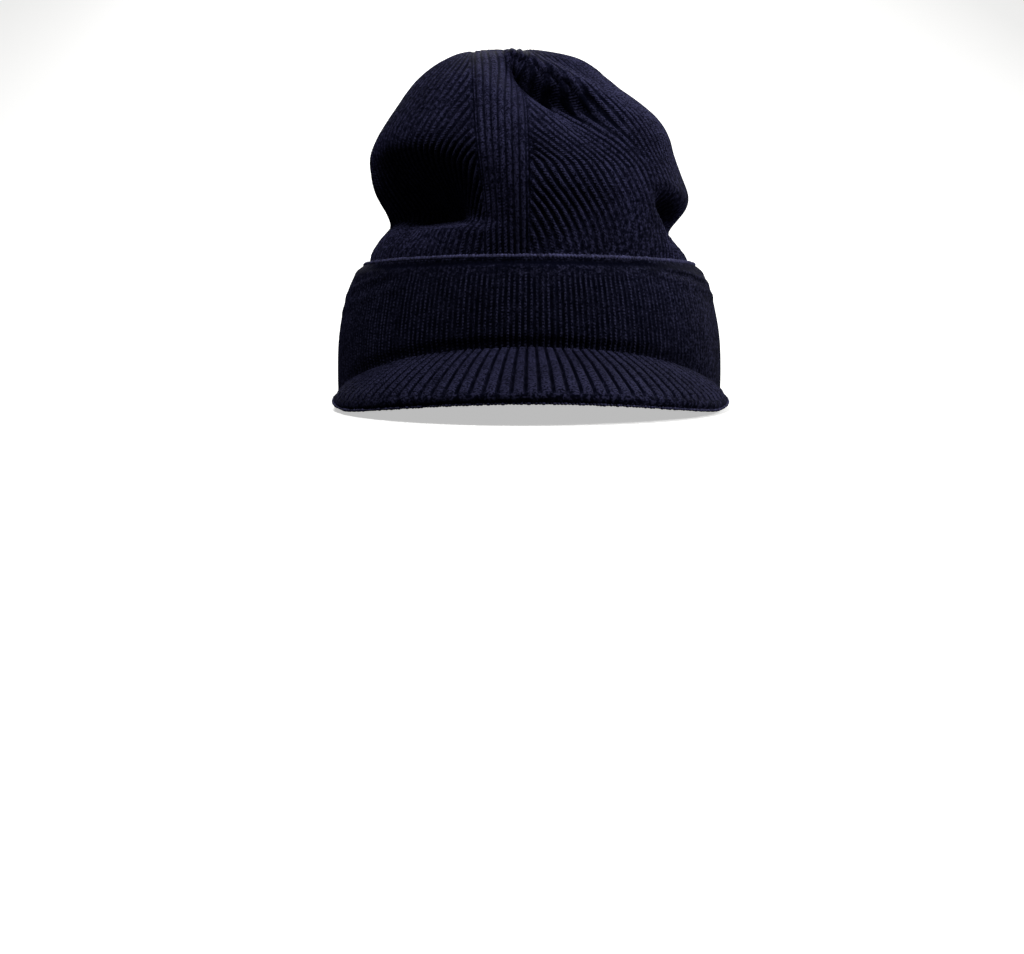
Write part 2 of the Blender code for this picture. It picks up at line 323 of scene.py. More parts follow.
def knit_mesh(name, rows, rows_meet, columns_meet):
    """Knitted surface through rows of knots. A knot is a point, its wale, its course, the share of rib
    that shows there, the share of sunk seam and painted shade, and how flat the rib is. Knots at one
    point share a vertex."""
    points, values, grid = [], [], []
    for row in rows:
        places = []
        for number, knot in enumerate(row):
            if number and (knot[0] - row[number - 1][0]).length < SAME_POINT:
                places.append(places[-1])
                continue
            places.append(len(points))
            points.append(knot[0] + HAT_MIDDLE)
            values.append((knot[1], knot[3], knot[4], knot[5]))
        if columns_meet:
            places[-1] = places[0]
        grid.append(places)
    if rows_meet:
        grid[-1] = grid[0]
    faces, uvs = [], []
    for lower in range(len(rows) - 1):
        for column in range(len(rows[0]) - 1):
            face, corners = [], []
            for row, place in (
                (lower, column),
                (lower, column + 1),
                (lower + 1, column + 1),
                (lower + 1, column),
            ):
                if grid[row][place] not in face:
                    face.append(grid[row][place])
                    corners.append(rows[row][place][1:3])
            if len(face) > 2:
                faces.append(face)
                uvs += corners
    mesh = bpy.data.meshes.new(name)
    mesh.from_pydata(points, [], faces)
    for index, attribute in enumerate(("wale", "relief", "groove_and_painted_shade", "flat")):
        field = mesh.attributes.new(attribute, "FLOAT", "POINT")
        field.data.foreach_set("value", [value[index] for value in values])
    mesh.uv_layers.new(name="knit").data.foreach_set("uv", [part for corner in uvs for part in corner])
    return put(name, mesh)


def add(tree, kind, inputs=None, **settings):
    """Node with its settings. An input is a value, a socket, or a node whose first output it takes."""
    node = tree.nodes.new(kind)
    for setting, value in settings.items():
        setattr(node, setting, value)
    for place, value in (inputs or {}).items():
        if isinstance(value, bpy.types.Node):
            value = value.outputs[0]
        if isinstance(value, bpy.types.NodeSocket):
            tree.links.new(value, node.inputs[place])
        else:
            node.inputs[place].default_value = value
    return node


def open_tree(name, inputs):
    """Geometry Nodes with one geometry in and out, and the outputs that give the named inputs."""
    tree = bpy.data.node_groups.new(name, "GeometryNodeTree")
    tree.interface.new_socket("Geometry", in_out="OUTPUT", socket_type="NodeSocketGeometry")
    tree.interface.new_socket("Geometry", in_out="INPUT", socket_type="NodeSocketGeometry")
    for label, kind in inputs.items():
        tree.interface.new_socket(label, in_out="INPUT", socket_type="NodeSocket" + kind)
    return tree, add(tree, "NodeGroupInput").outputs


def rib_tree():
    """Geometry Nodes that sink the valleys between the ribs, let the soft surface swell and sag, and keep
    it above the floor that it rests on."""
    tree, given = open_tree("knit_ribs", {
        "Rib Depth": "Float",
        "Valley Power": "Float",
        "Alternate": "Float",
        "Groove Depth": "Float",
        "Swell Height": "Float",
        "Swell Size": "Float",
        "Seed": "Float",
        "Yarn": "Material",
    })
    wale = add(tree, "GeometryNodeInputNamedAttribute", {"Name": "wale"}, data_type="FLOAT")
    relief = add(tree, "GeometryNodeInputNamedAttribute", {"Name": "relief"}, data_type="FLOAT")
    groove_and_painted_shade = add(tree, "GeometryNodeInputNamedAttribute", {"Name": "groove_and_painted_shade"}, data_type="FLOAT")
    turn = add(tree, "ShaderNodeMath", {0: wale, 1: tau}, operation="MULTIPLY")
    wave = add(tree, "ShaderNodeMath", {0: turn}, operation="COSINE")
    dip = add(tree, "ShaderNodeMath", {0: wave, 1: -0.5, 2: 0.5}, operation="MULTIPLY_ADD")
    valley = add(tree, "ShaderNodeMath", {0: dip, 1: given["Valley Power"]}, operation="POWER")
    half_turn = add(tree, "ShaderNodeMath", {0: wale, 1: pi}, operation="MULTIPLY")
    slow_wave = add(tree, "ShaderNodeMath", {0: half_turn}, operation="COSINE")
    odd = add(tree, "ShaderNodeMath", {0: slow_wave, 1: -0.5, 2: 0.5}, operation="MULTIPLY_ADD")
    lower = add(tree, "ShaderNodeMath", {0: odd, 1: given["Alternate"]}, operation="MULTIPLY")
    deeper = add(tree, "ShaderNodeMath", {0: valley, 1: lower}, operation="MAXIMUM")
    rib = add(tree, "ShaderNodeMath", {0: deeper, 1: given["Rib Depth"]}, operation="MULTIPLY")
    shown = add(tree, "ShaderNodeMath", {0: rib, 1: relief}, operation="MULTIPLY")
    groove_depth = given["Groove Depth"]
    sunk = add(tree, "ShaderNodeMath", {0: groove_and_painted_shade, 1: groove_depth, 2: shown}, operation="MULTIPLY_ADD")
    size = add(tree, "ShaderNodeMath", {0: 1.0, 1: given["Swell Size"]}, operation="DIVIDE")
    noise = add(tree, "ShaderNodeTexNoise", {
        "W": given["Seed"], "Scale": size, "Detail": 2.0,
    }, noise_dimensions="4D")
    above = add(tree, "ShaderNodeMath", {0: noise, 1: 0.5}, operation="SUBTRACT")
    swelling = add(tree, "ShaderNodeMath", {0: above, 1: given["Swell Height"]}, operation="MULTIPLY")
    soft = add(tree, "ShaderNodeMath", {0: swelling, 1: relief}, operation="MULTIPLY")
    move = add(tree, "ShaderNodeMath", {0: soft, 1: sunk}, operation="SUBTRACT")
    normal = add(tree, "GeometryNodeInputNormal")
    offset = add(tree, "ShaderNodeVectorMath", {0: normal, "Scale": move}, operation="SCALE")
    moved = add(tree, "GeometryNodeSetPosition", {"Geometry": given["Geometry"], "Offset": offset})
    spot = add(tree, "ShaderNodeSeparateXYZ", {0: add(tree, "GeometryNodeInputPosition")})
    standing = add(tree, "ShaderNodeMath", {0: spot.outputs["Z"], 1: 0.0}, operation="MAXIMUM")
    landed = add(tree, "ShaderNodeCombineXYZ", {0: spot.outputs["X"], 1: spot.outputs["Y"], 2: standing})
    settled = add(tree, "GeometryNodeSetPosition", {"Geometry": moved, "Position": landed})
    real = add(tree, "GeometryNodeRealizeInstances", {"Geometry": settled})
    dressed = add(tree, "GeometryNodeSetMaterial", {"Geometry": real, "Material": given["Yarn"]})
    add(tree, "NodeGroupOutput", {"Geometry": dressed})
    return tree


def run_tree(piece, tree, values):
    """Runs Geometry Nodes on a piece with the named inputs, and keeps the result as its plain mesh."""
    modifier = piece.modifiers.new(tree.name, "NODES")
    modifier.node_group = tree
    for socket in tree.interface.items_tree:
        if socket.in_out == "INPUT" and socket.name in values:
            modifier[socket.identifier] = values[socket.name]
    bpy.context.view_layer.update()
    evaluated = piece.evaluated_get(bpy.context.evaluated_depsgraph_get())
    result = bpy.data.meshes.new_from_object(evaluated)
    result.name = piece.name
    piece.modifiers.remove(modifier)
    piece.data = result
    result.shade_smooth()
    return piece


def linear(colour):
    """Linear colour of an sRGB hex value."""
    parts = [int(colour[place:place + 2], 16) / 255 for place in (0, 2, 4)]
    return [part / 12.92 if part <= 0.04045 else ((part + 0.055) / 1.055) ** 2.4 for part in parts] + [1.0]


def start_material(name, finish):
    """Material, its node tree and its shader's inputs, set to the values of its finish."""
    material = bpy.data.materials.new(name)
    material.use_nodes = True
    shader = material.node_tree.nodes["Principled BSDF"].inputs
    for setting, value in finish.items():
        shader[setting].default_value = value
    return material, material.node_tree, shader


# The yarn's grain, in metres. The real fibres are far finer, and these are as coarse as the render shows.
FIBRE_SIZE = 0.0009
TUFT_SIZE = 0.0017
RUBBING_SIZE = 0.006
PATCH_SIZE = 0.022
THREAD_GRAIN_SIZE = 0.0012

# Shares of a rib's rise at which its light crest starts and is at its full, on a round and on a flat rib
ROUND_RIB = (0.50, 0.90)
FLAT_RIB = (0.06, 0.26)
STRAND_LEAN = 0.9
GRAIN_CONTRAST = 6.5
TUFT_CONTRAST = 2.10
FIBRE_BUMP = 0.8
BUMP_HEIGHT = 0.00025


def yarn(name, crest, valley, legs, beads, uneven, plain):
    """Matt wool and acrylic yarn, spun and knitted in ribs. It is light on the crests, with slanting
    stitch legs, and dark in the valleys, where its darker valley colour is painted shade. Short fibres
    give it a fine grain and a slight bloom at grazing angles, and where it is worn or stretched it turns
    to uneven tufts. Legs is the stitch columns on each rib, beads is how much shade is painted between
    stitches, uneven is how much weaker the weakest rib looks, and plain is how light the knit is where no
    ribs show. Where a knot carries painted shade, its colour goes towards the valley colour as well."""
    material, tree, shader = start_material(name, {
        "Roughness": 0.92,
        "Specular IOR Level": 0.10,
        "Specular Tint": linear("6c6cb0"),
        "Sheen Weight": 0.04,
        "Sheen Roughness": 0.45,
        "Sheen Tint": linear("7878b8"),
    })
    place = add(tree, "ShaderNodeSeparateXYZ", {0: add(tree, "ShaderNodeUVMap", uv_map="knit")})
    wale, course = place.outputs["X"], place.outputs["Y"]
    turn = add(tree, "ShaderNodeMath", {0: wale, 1: tau}, operation="MULTIPLY")
    wave = add(tree, "ShaderNodeMath", {0: turn}, operation="COSINE")
    rise = add(tree, "ShaderNodeMath", {0: wave, 1: 0.5, 2: 0.5}, operation="MULTIPLY_ADD")
    flat = add(tree, "ShaderNodeAttribute", attribute_name="flat").outputs["Fac"]
    foot = add(tree, "ShaderNodeMapRange", {"Value": flat, "To Min": ROUND_RIB[0], "To Max": FLAT_RIB[0]})
    full = add(tree, "ShaderNodeMapRange", {"Value": flat, "To Min": ROUND_RIB[1], "To Max": FLAT_RIB[1]})
    ridge = add(tree, "ShaderNodeMapRange", {
        "Value": rise, "From Min": foot, "From Max": full,
    }, interpolation_type="SMOOTHSTEP")
    number = add(tree, "ShaderNodeMath", {0: wale}, operation="ROUND")
    chance = add(tree, "ShaderNodeTexWhiteNoise", {"W": number}, noise_dimensions="1D")
    strength = add(tree, "ShaderNodeMapRange", {"Value": chance, "To Min": 1.0 - uneven, "To Max": 1.0})
    line = add(tree, "ShaderNodeMath", {0: ridge, 1: strength}, operation="MULTIPLY")
    relief = add(tree, "ShaderNodeAttribute", attribute_name="relief").outputs["Fac"]
    place_on_hat = add(tree, "ShaderNodeTexCoord").outputs["Object"]
    rubbing = add(tree, "ShaderNodeTexNoise", {
        "Vector": place_on_hat, "Scale": 1 / RUBBING_SIZE, "Detail": 2.0,
    })
    unworn = add(tree, "ShaderNodeMapRange", {
        "Value": rubbing, "From Min": 0.35, "From Max": 0.60, "To Min": 0.55, "To Max": 1.0,
    })
    ribbed = add(tree, "ShaderNodeMath", {0: relief, 1: unworn}, operation="MULTIPLY")
    shown = add(tree, "ShaderNodeMix", {"Factor": ribbed, "A": plain, "B": line})
    groove_and_painted_shade = add(tree, "ShaderNodeAttribute", attribute_name="groove_and_painted_shade").outputs["Fac"]
    unshaded_share = add(tree, "ShaderNodeMath", {0: 1.0, 1: groove_and_painted_shade}, operation="SUBTRACT")
    leg = add(tree, "ShaderNodeMath", {0: wale, 1: legs}, operation="MULTIPLY")
    side = add(tree, "ShaderNodeMath", {0: leg, 1: 1.0}, operation="PINGPONG")
    lean = add(tree, "ShaderNodeMath", {0: side, 1: STRAND_LEAN, 2: course}, operation="MULTIPLY_ADD")
    strand_turn = add(tree, "ShaderNodeMath", {0: lean, 1: tau}, operation="MULTIPLY")
    strand_wave = add(tree, "ShaderNodeMath", {0: strand_turn}, operation="COSINE")
    round_strand = add(tree, "ShaderNodeMath", {0: strand_wave, 1: 0.5, 2: 0.5}, operation="MULTIPLY_ADD")
    on_rib = add(tree, "ShaderNodeMath", {0: line, 1: relief}, operation="MULTIPLY")
    strand = add(tree, "ShaderNodeMath", {0: round_strand, 1: on_rib}, operation="MULTIPLY")
    fibre = add(tree, "ShaderNodeTexNoise", {"Vector": place_on_hat, "Scale": 1 / FIBRE_SIZE, "Detail": 2.0})
    patch = add(tree, "ShaderNodeTexNoise", {"Vector": place_on_hat, "Scale": 1 / PATCH_SIZE, "Detail": 2.0})
    gap = 1.0 - beads
    bead = add(tree, "ShaderNodeMath", {0: round_strand, 1: beads, 2: gap}, operation="MULTIPLY_ADD")
    beaded = add(tree, "ShaderNodeMath", {0: shown, 1: bead}, operation="MULTIPLY")
    tufts = add(tree, "ShaderNodeTexNoise", {"Vector": place_on_hat, "Scale": 1 / TUFT_SIZE, "Detail": 1.0})
    tuft = add(tree, "ShaderNodeMapRange", {
        "Value": tufts, "From Min": 0.42, "From Max": 0.60, "To Max": TUFT_CONTRAST,
    })
    tufted = add(tree, "ShaderNodeMix", {"Factor": ribbed, "A": tuft, "B": 1.0})
    even = add(tree, "ShaderNodeMath", {0: beaded, 1: unshaded_share}, operation="MULTIPLY")
    lit = add(tree, "ShaderNodeMath", {0: even, 1: tufted}, operation="MULTIPLY")
    speck = add(tree, "ShaderNodeMath", {0: fibre, 1: 0.5}, operation="SUBTRACT")
    grain = add(tree, "ShaderNodeMath", {0: speck, 1: GRAIN_CONTRAST, 2: 1.0}, operation="MULTIPLY_ADD")
    lit_speck = add(tree, "ShaderNodeMath", {0: grain, 1: lit}, operation="MULTIPLY", use_clamp=True)
    # Going towards the valley colour paints shade into the rib valleys and between stitches
    shade = add(tree, "ShaderNodeMixRGB", {0: lit_speck, 1: linear(valley), 2: linear(crest)})
    tone = add(tree, "ShaderNodeMapRange", {
        "Value": patch, "From Min": 0.3, "From Max": 0.7, "To Min": 0.8, "To Max": 1.2,
    })
    toned = add(tree, "ShaderNodeHueSaturation", {"Value": tone, "Color": shade})
    tree.links.new(toned.outputs[0], shader["Base Color"])
    height = add(tree, "ShaderNodeMath", {0: fibre, 1: FIBRE_BUMP, 2: strand}, operation="MULTIPLY_ADD")
    bump = add(tree, "ShaderNodeBump", {"Height": height, "Distance": BUMP_HEIGHT, "Strength": 0.9})
    tree.links.new(bump.outputs[0], shader["Normal"])
    return material


def thread(name, dark, light):
    """Spun sewing yarn, a little lighter and smoother than the knit, with a fine uneven grain."""
    material, tree, shader = start_material(name, {"Roughness": 0.85, "Specular IOR Level": 0.15})
    place_on_hat = add(tree, "ShaderNodeTexCoord").outputs["Object"]
    fibre = add(tree, "ShaderNodeTexNoise", {
        "Vector": place_on_hat, "Scale": 1 / THREAD_GRAIN_SIZE, "Detail": 2.0,
    })
    light_share = add(tree, "ShaderNodeMapRange", {"Value": fibre, "From Min": 0.35, "From Max": 0.65})
    shade = add(tree, "ShaderNodeMixRGB", {0: light_share, 1: linear(dark), 2: linear(light)})
    tree.links.new(shade.outputs[0], shader["Base Color"])
    return material


def stitch_tree():
    """Geometry Nodes that set plump stitches end to end along a line."""
    tree, given = open_tree("stitch_chain", {
        "Pitch": "Float",
        "Length": "Float",
        "Width": "Float",
        "Unevenness": "Float",
        "Seed": "Int",
        "Thread": "Material",
    })
    line = add(tree, "GeometryNodeMeshToCurve", {"Mesh": given["Geometry"]})
    spots = add(tree, "GeometryNodeResampleCurve", {"Curve": line, "Length": given["Pitch"]}, mode="LENGTH")
    tangent = add(tree, "GeometryNodeInputTangent")
    facing = add(tree, "FunctionNodeAlignRotationToVector", {"Vector": tangent}, axis="X")
    half_length = add(tree, "ShaderNodeMath", {0: given["Length"], 1: 0.5}, operation="MULTIPLY")
    half_width = add(tree, "ShaderNodeMath", {0: given["Width"], 1: 0.5}, operation="MULTIPLY")
    size = add(tree, "ShaderNodeCombineXYZ", {"X": half_length, "Y": half_width, "Z": half_width})
    smallest = add(tree, "ShaderNodeMath", {0: 1.0, 1: given["Unevenness"]}, operation="SUBTRACT")
    largest = add(tree, "ShaderNodeMath", {0: 1.0, 1: given["Unevenness"]}, operation="ADD")
    chance = add(tree, "FunctionNodeRandomValue", {2: smallest, 3: largest, "Seed": given["Seed"]})
    scale = add(tree, "ShaderNodeVectorMath", {0: size, "Scale": chance.outputs[1]}, operation="SCALE")
    ball = add(tree, "GeometryNodeMeshUVSphere", {"Radius": 1.0, "Segments": 8, "Rings": 6})
    chain = add(tree, "GeometryNodeInstanceOnPoints", {
        "Points": spots, "Instance": ball.outputs["Mesh"], "Rotation": facing, "Scale": scale,
    })
    real = add(tree, "GeometryNodeRealizeInstances", {"Geometry": chain})
    dressed = add(tree, "GeometryNodeSetMaterial", {"Geometry": real, "Material": given["Thread"]})
    add(tree, "NodeGroupOutput", {"Geometry": dressed})
    return tree


def stitch_line(name, points, closed):
    """Object with one line of edges for a chain of stitches to follow."""
    edges = [(index, index + 1) for index in range(len(points) - 1)]
    if closed:
        edges.append((len(points) - 1, 0))
    mesh = bpy.data.meshes.new(name)
    mesh.from_pydata([tuple(point + HAT_MIDDLE) for point in points], edges, [])
    return put(name, mesh)


# An even number of ribs goes round the cuff, because every other rib is lower.
perimeter = pi * hypot(CUFF_HALF_WIDTH, CUFF_HALF_DEPTH) * 2 ** 0.5
cuff_ribs = 2 * round(perimeter / CUFF_RIB_PITCH / 2)
cuff_angles = even_angles(cuff_ribs * COLUMNS_PER_WALE)
cuff_lines = []
for angle in cuff_angles:
    outline = cuff_outline(angle)
    line = [cuff_point(angle, height, inset) for height, inset, relief, groove_and_painted_shade in outline]
    turn = degrees(turned(angle))
    left = 1.0 - sum(lost * swell(turn - place, reach) for place, reach, lost in CUFF_WORN)
    shares = [(relief * left, groove_and_painted_shade) for height, inset, relief, groove_and_painted_shade in outline]
    cuff_lines.append((line, courses_along(line, COURSE_HEIGHT), shares))
cuff_rows = rows_across(cuff_lines, COLUMNS_PER_WALE, CUFF_FLAT)
cuff = knit_mesh("cuff_knit", cuff_rows, rows_meet=True, columns_meet=True)
# Its valley colour is painted shade in the rib valleys
cuff_yarn = yarn(
    "navy_wool_rib_cuff", crest="2b2b41", valley="02030d", legs=1, beads=0.35, uneven=0.6, plain=0.52,
)
ribs = rib_tree()
run_tree(cuff, ribs, {
    "Rib Depth": CUFF_RIB_DEPTH,
    "Valley Power": 0.8,
    "Alternate": 0.35,
    "Groove Depth": 0.0,
    "Swell Height": 0.0016,
    "Swell Size": 0.030,
    "Seed": 1.0,
    "Yarn": cuff_yarn,
})
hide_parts("cuff")
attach(cuff, "root")

chains = stitch_tree()
navy_thread = thread("navy_sewing_yarn", "222238", "4a4a70")
edge_line = [cuff_point(angle, *hem_roll(angle, EDGE_CHAIN_TURN)) for angle in cuff_angles[:-1]]
edge_chain = run_tree(stitch_line("cuff_edge_chain", edge_line, closed=True), chains, {
    "Pitch": EDGE_STITCH_PITCH,
    "Length": EDGE_STITCH_LENGTH,
    "Width": EDGE_STITCH_WIDTH,
    "Unevenness": 0.15,
    "Seed": 1,
    "Thread": navy_thread,
})
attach(edge_chain, "root")


# The crown
# The bag of the hat, the same rib in one layer, seated inside the cuff. Its front and back bands run up
# unbroken, and the rest is narrowed beside them: the wales keep their width and end one by one at a band.

CROWN_HEIGHT = 0.166
SEATED_SHARES = (0.0, 0.12, 0.42, 0.68, 0.88)
WALE_PITCH = 0.0036
CROWN_RIB_DEPTH = 0.0015
BAND_WALES = 8
BAND_MIDDLE = -0.0108
BAND_LEAN = -0.0036
BAND_HALF_WIDTH = 0.0105
BAND_SPREAD = 0.0026
BAND_GROOVE = 0.0014
BAND_FLAT = 0.90
BAND_RELIEF = 0.75
SIDE_FLAT = 0.40
BAND_LIMIT = 0.94
BAND_FADE = 0.30
EDGE_FADE = 0.0022
ROW_STEP = 0.0023
ROW_GUIDES = (-10.0, 2.0, 14.0, 26.0, 38.0, 180.0)
ROW_SAMPLES = 20
INNER_ROWS_APART = 4
GATHER_SHARES = (0.85, 0.68, 0.50, 0.32, 0.16, 0.0)
GATHER_FADE_RATE = 2
GATHER_DIP = 0.0015
ARC_STEPS = 20
NORMAL_STEP = 0.01

CROWN_HALF_WIDTH = CUFF_HALF_WIDTH * cuff_size(1.0) - CUFF_WALL - CUFF_LOFT
CROWN_HALF_DEPTH = CUFF_HALF_DEPTH * cuff_size(1.0) - CUFF_WALL - CUFF_LOFT

# The crown's sections above the cuff. Height is a share of the rise from the cuff's top to the crown's top,
# left and right are shares of the half width where it leaves the cuff, and front and back of the half depth.
CROWN_SECTIONS = (
    # height, left, right, front, back
    (0.000, 1.000, 0.996, 1.000, 1.000),
    (0.080, 1.012, 1.008, 1.005, 1.016),
    (0.150, 1.025, 1.008, 1.009, 1.029),
    (0.220, 1.033, 1.006, 1.010, 1.044),
    (0.314, 1.034, 1.002, 1.007, 1.066),
    (0.416, 1.020, 0.952, 0.993, 1.091),
    (0.507, 1.008, 0.908, 0.967, 1.100),
    (0.585, 0.963, 0.880, 0.929, 1.090),
    (0.662, 0.900, 0.819, 0.870, 1.057),
    (0.739, 0.831, 0.714, 0.790, 0.998),
    (0.807, 0.769, 0.595, 0.693, 0.912),
    (0.865, 0.705, 0.502, 0.587, 0.811),
    (0.913, 0.630, 0.426, 0.480, 0.700),
    (0.952, 0.543, 0.334, 0.368, 0.572),
    (0.981, 0.445, 0.209, 0.241, 0.427),
    (0.996, 0.301, 0.052, 0.096, 0.256),
)

# Folds where the soft crown has sunk in, or bulges, with a depth below zero. Height, above and below are
# shares of the crown's rise over the cuff, depth is a share of its half width, climb is the fold line's rise
# for each degree of turn, and brow and sill say how steep the fold's upper and lower slopes are.
CROWN_FOLDS = (
    # angle, width, height, climb, above, below, brow, sill, depth
    (-74.0, 42.0, 0.155, -0.0010, 0.150, 0.070, 2.0, 1.2, 0.165),
    (-50.0, 29.0, 0.200, -0.0006, 0.250, 0.045, 2.5, 4.0, 0.290),
    (95.0, 38.0, 0.135, 0.0000, 0.095, 0.085, 2.0, 1.2, 0.130),
    (67.0, 15.0, 0.185, -0.0048, 0.070, 0.050, 2.5, 2.5, 0.165),
    (13.0, 22.0, 0.770, -0.0062, 0.095, 0.135, 2.0, 1.4, 0.430),
    (12.0, 24.0, 0.915, -0.0050, 0.050, 0.060, 2.0, 2.0, -0.080),
    (168.0, 40.0, 0.150, 0.0000, 0.120, 0.080, 2.0, 1.2, 0.060),
)
FOLD_SIDES = 3.0

# Where the knit is stretched and its ribs hardly show. Lost is the share of them that is gone.
CROWN_STRETCH = (
    # angle, width, height, reach, lost
    (-75.0, 35.0, 0.680, 0.250, 0.70),
    (-42.0, 20.0, 0.780, 0.200, 0.40),
    (-55.0, 28.0, 0.060, 0.090, 0.75),
    (16.0, 28.0, 0.000, 0.110, 0.75),
    (40.0, 17.0, 0.130, 0.170, 0.80),
    (72.0, 22.0, 0.330, 0.170, 0.90),
    # This row smooths the ribs in the deep top fold and so darkens it: painted shade in the fold
    (12.0, 16.0, 0.800, 0.080, 0.65),
)

# How many of the wales beside a band are left at each height, as a share of those at the cuff
WALES_LEFT = (
    # height, share
    (0.000, 1.000),
    (0.100, 0.980),
    (0.200, 0.940),
    (0.317, 0.875),
    (0.420, 0.833),
    (0.488, 0.776),
    (0.566, 0.711),
    (0.659, 0.656),
    (0.740, 0.600),
    (0.820, 0.555),
    (0.900, 0.520),
    (1.000, 0.480),
)


def crown_body(angle, position):
    """Point of the crown above the cuff, without its folds. Position counts the section rows."""
    height, left, right, front, back = smooth_row(CROWN_SECTIONS, position)
    left *= CROWN_HALF_WIDTH
    right *= CROWN_HALF_WIDTH
    front *= CROWN_HALF_DEPTH
    back *= CROWN_HALF_DEPTH
    mouth = cuff_top(angle)
    return Vector((
        (right - left) / 2 + (right + left) / 2 * sin(angle),
        (back - front) / 2 - (back + front) / 2 * cos(angle),
        mouth + (CROWN_HEIGHT - mouth) * height,
    ))


def fold_depth(angle, height):
    """How far the folds pull the crown in at an angle and a height share."""
    depth = 0.0
    for fold_angle, width, fold_height, climb, above, below, brow, sill, share in CROWN_FOLDS:
        turn = degrees(turned(angle, radians(fold_angle)))
        rise = height - fold_height - climb * turn
        across = abs(turn / width) ** FOLD_SIDES
        along = (rise / above) ** brow if rise > 0 else (-rise / below) ** sill
        depth += share * CROWN_HALF_WIDTH * exp(-across - along)
    return depth


def rib_share(angle, height):
    """How much of the ribs shows at an angle and a height share, where the knit is stretched."""
    share = 1.0
    for place, width, middle, reach, lost in CROWN_STRETCH:
        turn = degrees(turned(angle, radians(place)))
        share *= 1.0 - lost * exp(-(turn / width) ** 2 - ((height - middle) / reach) ** 2)
    return share


def crown_point(angle, position, inset):
    """Point of the crown above the cuff, pulled in level by its folds and set in by a wall."""
    body = crown_body(angle, position)
    around = crown_body(angle + NORMAL_STEP, position) - crown_body(angle - NORMAL_STEP, position)
    above = min(position + NORMAL_STEP, len(CROWN_SECTIONS) - 1)
    up = crown_body(angle, above) - crown_body(angle, max(position - NORMAL_STEP, 0))
    normal = around.cross(up).normalized()
    level = Vector((normal.x, normal.y, 0.0)).normalized()
    height = smooth_row(CROWN_SECTIONS, position)[0]
    return body - level * fold_depth(angle, height) * min(1.0, position) - normal * inset


def seated_point(angle, share, inset):
    """Point of the crown inside the cuff, at a share of the way from its foot to the cuff's top."""
    foot = rim_height(angle) + FOLD_HEIGHT + SEAT_GAP
    height = foot + (cuff_top(angle) - foot) * share
    gap = CUFF_WALL + SEAT_GAP + (CUFF_LOFT - SEAT_GAP) * share
    point = cuff_point(angle, foot + (cuff_top(angle) - foot) * max(share, SEATED_SHARES[1]), gap + inset)
    point.z = height
    return point


def arc_lengths(position, start, end):
    """Angles along an arc round the crown at one row, and the length from its start to each of them."""
    turns = [start + (end - start) * step / ARC_STEPS for step in range(ARC_STEPS + 1)]
    points = [crown_body(turn, position) for turn in turns]
    lengths = [0.0]
    for this_point, next_point in zip(points, points[1:]):
        lengths.append(lengths[-1] + (next_point - this_point).length)
    return turns, lengths


def sector_columns(position, middle, edge, wales):
    """Columns from a side's middle to a band's edge at one row: angle, wale and distance to the edge."""
    turns, lengths = arc_lengths(position, middle, edge)
    total = lengths[-1]
    height = smooth_row(CROWN_SECTIONS, position)[0]
    pitch = total / wales / float(np.interp(height, *zip(*WALES_LEFT)))
    columns = range(wales * COLUMNS_PER_WALE + 1)
    reaches = [min(column / COLUMNS_PER_WALE * pitch, total) for column in columns]
    angles = np.interp(reaches, lengths, turns)
    return [(float(angle), reach / pitch, total - reach) for angle, reach in zip(angles, reaches)]


def band_angles(position):
    """Angles of the front band's left and right edges at one row."""
    height, left, right = smooth_row(CROWN_SECTIONS, position)[:3]
    middle = (right - left) / 2 * CROWN_HALF_WIDTH
    half_width = (right + left) / 2 * CROWN_HALF_WIDTH
    reach = BAND_HALF_WIDTH + BAND_SPREAD * height
    centre = BAND_MIDDLE + BAND_LEAN * height
    edges = (centre - reach, centre + reach)
    return [asin(max(-BAND_LIMIT, min(BAND_LIMIT, (edge - middle) / half_width))) for edge in edges]


def sector_ends(position):
    """Middle and band edge of the four half sides at one row, in order round the crown."""
    left, right = band_angles(position)
    return (
        (-pi / 2, left),
        (pi / 2, right),
        (pi / 2, pi - right),
        (1.5 * pi, pi - left),
    )


sector_wales = [round(arc_lengths(0.0, *ends)[1][-1] / WALE_PITCH) for ends in sector_ends(0.0)]


